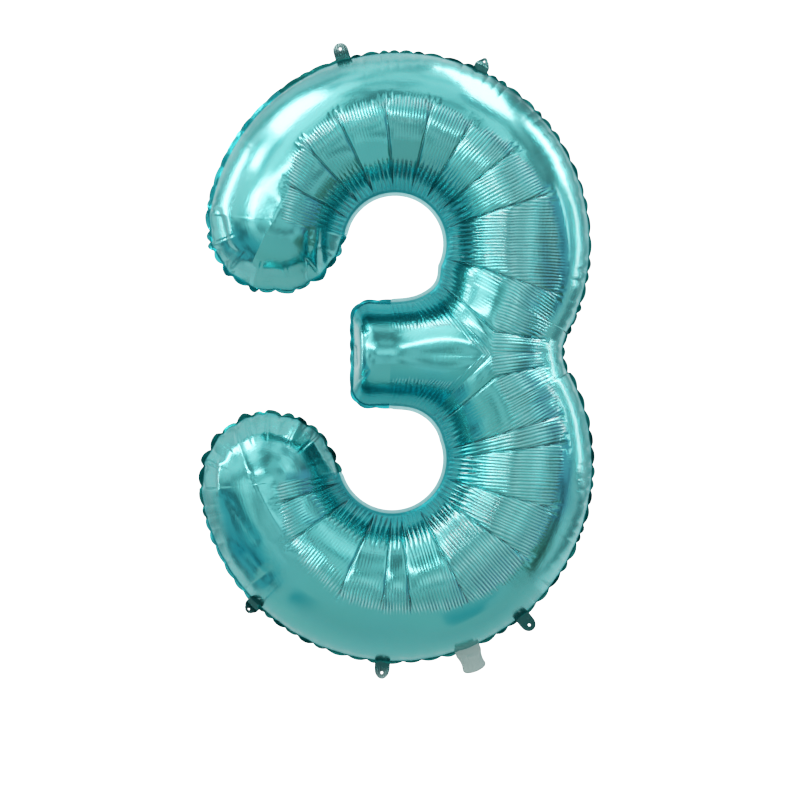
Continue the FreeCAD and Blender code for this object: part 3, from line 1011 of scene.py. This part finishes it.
def make_room():
    """The pale room that the foil reflects: clouds, then lighter and darker parts."""
    look = Nodes(bpy.data.worlds.new("studio_air"), "Background", {})
    place = look.add("TexCoord", {}).outputs["Generated"]
    ramp = look.add("ValToRGB", {"Fac": look.noise(3.1, 1.0, Vector=place)})
    for element, (level, shade) in zip(ramp.color_ramp.elements, CLOUDS):
        element.position = level
        element.color = shade
    colour = ramp.outputs["Color"]
    patches = [(*patch, "MULTIPLY") for patch in SHADES] + [(*BACKDROP, "MIX")]
    for way, wide, narrow, shade, blend in patches:
        ways = {0: place, 1: Vector(way).normalized()}
        inputs = {
            "Value": look.add("VectorMath", ways, operation="DOT_PRODUCT").outputs["Value"],
            "From Min": math.cos(math.radians(wide)),
            "From Max": math.cos(math.radians(narrow)),
        }
        reach = look.add("MapRange", inputs, interpolation_type="SMOOTHSTEP").outputs["Result"]
        colour = look.mix(reach, colour, shade, blend)
    look.put(look.shader.inputs["Color"], colour)
    bpy.context.scene.world = look.owner


def make_camera():
    """The camera, level and in front of the balloon."""
    camera = new_object("camera", bpy.data.cameras.new("camera"))
    camera.location = CAMERA_PLACE
    camera.rotation_euler = (math.radians(90), 0, 0)
    camera.data.lens = CAMERA_LENS
    bpy.context.scene.camera = camera


def photographic_response():
    """A soft shoulder for bright reflections, as in a studio photograph."""
    view = bpy.context.scene.view_settings
    view.view_transform = "Standard"
    view.use_curve_mapping = True
    mapping = view.curve_mapping
    mapping.white_level = (WHITE_LEVEL,) * 3
    curve = mapping.curves[3]
    curve.points[0].location = (0.0, 0.0)
    curve.points[1].location = (1.0, 1.0)
    for light, shown in RESPONSE:
        curve.points.new(light, shown)
    mapping.update()


# --- the balloon


# name: fold towards the front (degrees), narrowing towards the tip, gather, and how pale its tip is
TABS = {
    "crown_left_tab": (0, 0.05, 0.75, 0.9),
    "crown_right_tab": (-40, 0.55, 0.45, 0.0),
    "foot_right_tab": (0, 0.08, 0.25, 0.0),
    "foot_middle_tab": (0, 0.18, 0.45, 0.7),
    "foot_left_tab": (55, 0.30, 0.60, 0.6),
}
TAB_HALF = 10.5
TAB_REACH = 18.0
TAB_ROOT = -8.0  # the tab is one piece with the weld, so it starts inside the flange
HOLE_REACH = 9.5
HOLE_RADIUS = 2.0
NECK_HALF, NECK_WAIST, NECK_REACH, NECK_CROWN = 18.0, 2.5, 24.0, 4.0
NECK_ROOT = 9.0  # how far the neck's films reach in between the two films of the balloon
VALVE_HALF, VALVE_START, VALVE_DEPTH = 12.0, 8.0, 95.0
FILM = 0.3  # thickness of a tab's or the neck's film
TAB_DARK, TAB_TEAL, TAB_PALE = (0.002, 0.035, 0.035, 1), (0.010, 0.13, 0.125, 1), (0.50, 0.66, 0.64, 1)
NECK_COLOUR, VALVE_COLOUR = (0.40, 0.53, 0.50, 1), (0.62, 0.66, 0.64, 1)


def make_films():
    """The front and back films. Returns the front one's smooth shape, for the lights."""
    cols = make_columns()
    foil = foil_material()
    # the weld with painted shade, for where the flange tilts away
    weld = weld_material("weld_seam_painted_shade_look", PAINTED_SHADE_WELD)
    bay_weld = weld_material("bay_seam_look", BAY_WELD)
    shapes = []
    for name, seed, side in (("front", 100, -1), ("back", 300, 1)):
        points, faces, attributes, smooth_shape = film(cols, seed, side)
        thing = make_mesh(name + "_film", points, faces, [foil, weld, bay_weld])
        for key, values in attributes.items():
            add_attribute(thing, key, values)
        flange_faces(thing, cols)
        sharpen_seam(thing, cols)
        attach(thing, "envelope")
        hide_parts(name + "_panel")
        shapes.append(smooth_shape)
    return shapes[0]


def hinge_frame(body):
    """A body's hinge: its place in millimetres, its line and the way out from the seam."""
    joint = next(j for j in frame["joints"] if j["child"] == body)
    line = np.array(joint["axis"])
    return np.array(joint["pos_m"]) / MM, line, np.cross(line, (0, 1, 0))


def set_out(body, across, out, front):
    """Points given across a hinge, out from it and to the front, in the balloon's frame."""
    place, line, way = hinge_frame(body)
    points = across[..., None] * line + out[..., None] * way + front[..., None] * np.array([0, -1.0, 0])
    return place + points


def grid_faces(rows, cols, closed=False):
    """Quads of a grid of points; a closed grid joins its last row to its first."""
    first = np.arange(rows if closed else rows - 1)
    a = first[:, None] * cols + np.arange(cols - 1)
    b = (first[:, None] + 1) % rows * cols + np.arange(cols - 1)
    return np.stack([a, a + 1, b + 1, b], axis=-1).reshape(-1, 4)


def thick(points, quads):
    """A closed film of real thickness around a sheet of points."""
    points = points.reshape(-1, 3)
    none = np.zeros((0, 3), int)
    normals = vertex_normals(points, (quads, none))
    both = np.vstack([points + normals * FILM / 2, points - normals * FILM / 2])
    edges = np.vstack([quads[:, [k, (k + 1) % 4]] for k in range(4)])
    paired = {tuple(edge) for edge in edges[:, ::-1].tolist()}
    rim = np.array([edge for edge in edges.tolist() if tuple(edge) not in paired])
    count = len(points)
    walls = np.stack([rim[:, 1], rim[:, 0], rim[:, 0] + count, rim[:, 1] + count], axis=1)
    return both, (np.vstack([quads, quads[:, ::-1] + count, walls]), none)


def tab_outline(way):
    """A tab's edge as seen from its punched hole: a straight root and sides, and a round tip."""
    hole = np.array([0, HOLE_REACH])
    tip = ray_to_circle(hole, way, np.array([0, TAB_REACH - TAB_HALF]), TAB_HALF)
    side = TAB_HALF / np.maximum(np.abs(way[:, 0]), 1e-6)
    root = np.where(way[:, 1] < 0, (HOLE_REACH - TAB_ROOT) / np.maximum(-way[:, 1], 1e-6), 1e6)
    straight = hole + way * np.minimum(side, root)[:, None]
    return hole, np.where((tip[:, 1] > TAB_REACH - TAB_HALF)[:, None], tip, straight)


def tab_sheet(name):
    """A tab: rings of points from its punched hole out to its edge."""
    fold, narrow, gather, _ = TABS[name]
    way = unit(np.linspace(0, 360, 96, endpoint=False))
    hole, edge = tab_outline(way)
    part = np.linspace(0, 1, 14)[:, None]
    rings = (hole + way * HOLE_RADIUS)[:, None, :] * (1 - part) + edge[:, None, :] * part
    across, out = rings[..., 0], rings[..., 1]
    reach = out.ravel() / TAB_REACH
    seed = len(name) + abs(fold)
    ripple = np.cos(2 * math.pi * across / 3.1 + 1.5 * wave_noise(out, 7, seed))
    curl = 2.2 * gather * (across / TAB_HALF) ** 2 * (1 if fold >= 0 else -1)
    uneven = 0.8 * field_noise(across, out, 7, 9, seed + 1)
    front = smooth(out, 0, 5) * (gather * ripple + curl + uneven)
    across = across * (1 - narrow * smooth(out, 1, TAB_REACH))
    bend = math.radians(fold) * smooth(out, -1, 4)
    out, front = out * np.cos(bend) - front * np.sin(bend), out * np.sin(bend) + front * np.cos(bend)
    points = set_out(name, across, out, front)
    return points, grid_faces(96, 14, closed=True), reach


def tab_material(name, pale):
    """Welded foil: dark teal, and paler where it is stretched thin."""
    look = new_look(name + "_look", {"Metallic": 0.85, "Roughness": 0.28, "Coat Weight": 0.2})
    reach = look.maths("POWER", look.maths("MAXIMUM", look.mark("reach"), 0.0), 1.6)
    patchy = look.times(reach, look.maths("ADD", 0.4, look.noise(170.0)))
    colour = look.mix(look.noise(120.0), TAB_DARK, TAB_TEAL)
    look.paint(look.mix(look.times(patchy, pale), colour, TAB_PALE))
    look.bump(look.noise(400.0), 0.4, 0.0004)
    return look.owner


def hinged_piece(name, node, solid, material):
    """A film piece that reaches from the seam across its hinge, in place of its hidden part."""
    thing = make_mesh(name, *solid, [material])
    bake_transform(thing)
    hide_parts(node)
    return thing


def make_tabs():
    """The five hanging tabs."""
    for name, (_, _, _, pale) in TABS.items():
        points, quads, reach = tab_sheet(name)
        solid, material = thick(points, quads), tab_material(name, pale)
        thing = hinged_piece(name + "_film", name, solid, material)
        add_attribute(thing, "reach", np.concatenate([reach, reach]))


def clear_film_material(name, colour, roughness):
    """Thin frosted plastic with a faint metallic sheen and soft creases."""
    plain = {"Metallic": 0.45, "Roughness": roughness, "Coat Weight": 0.3}
    return plain_film(name, plain, colour, 0.6, (90.0, 3.0), 220.0, 0.35, 0.0005)


def make_neck():
    """The filling neck's two films, a little open between their welded sides."""
    material = clear_film_material("neck_film_look", NECK_COLOUR, 0.36)
    u, v = np.meshgrid(np.linspace(-1, 1, 61), np.linspace(0, 1, 33), indexing="ij")
    tip = NECK_REACH + NECK_CROWN * (1 - u**2) - 4.0 * u**8
    out = -NECK_ROOT + v * (NECK_ROOT + tip)
    half = NECK_HALF - NECK_WAIST * np.sin(math.pi * np.clip(out / NECK_REACH, 0, 1))
    free = smooth(out, 0, 9)
    for name, side, seed in (("neck_film_front", 1, 61), ("neck_film_back", -1, 62)):
        uneven = 0.45 * field_noise(18 * u, out, 3.1, 26, seed) * (1 - u**4)
        puff = 0.25 + free * (1.5 * (1 - u**2) + uneven)
        points = set_out("neck", u * half, out, side * np.maximum(puff, 0.2))
        solid = thick(points, grid_faces(61, 33))
        hinged_piece(name + "_piece", name, solid, material)


def make_valve():
    """The valve sleeve's two flat films, inside the balloon."""
    material = clear_film_material("valve_film_look", VALVE_COLOUR, 0.3)
    u, v = np.meshgrid(np.linspace(-1, 1, 21), np.linspace(0, 1, 61), indexing="ij")
    out = -VALVE_START - v * (VALVE_DEPTH - VALVE_START)
    for name, side in (("valve_film_front", 1), ("valve_film_back", -1)):
        front = side * (0.35 + 0.5 * (1 - u**2)) + 0.8 * np.sin(out / 9)
        points = set_out("neck", u * VALVE_HALF, out, front)
        thing = make_mesh(name + "_piece", *thick(points, grid_faces(21, 61)), [material])
        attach(thing, "envelope")
        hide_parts(name)


front_shape = make_films()
make_tabs()
make_neck()
make_valve()
make_stage()
make_room()
for light_name, box in SOFT_BOXES.items():
    soft_light(light_name, *box, *front_shape)
make_camera()
photographic_response()
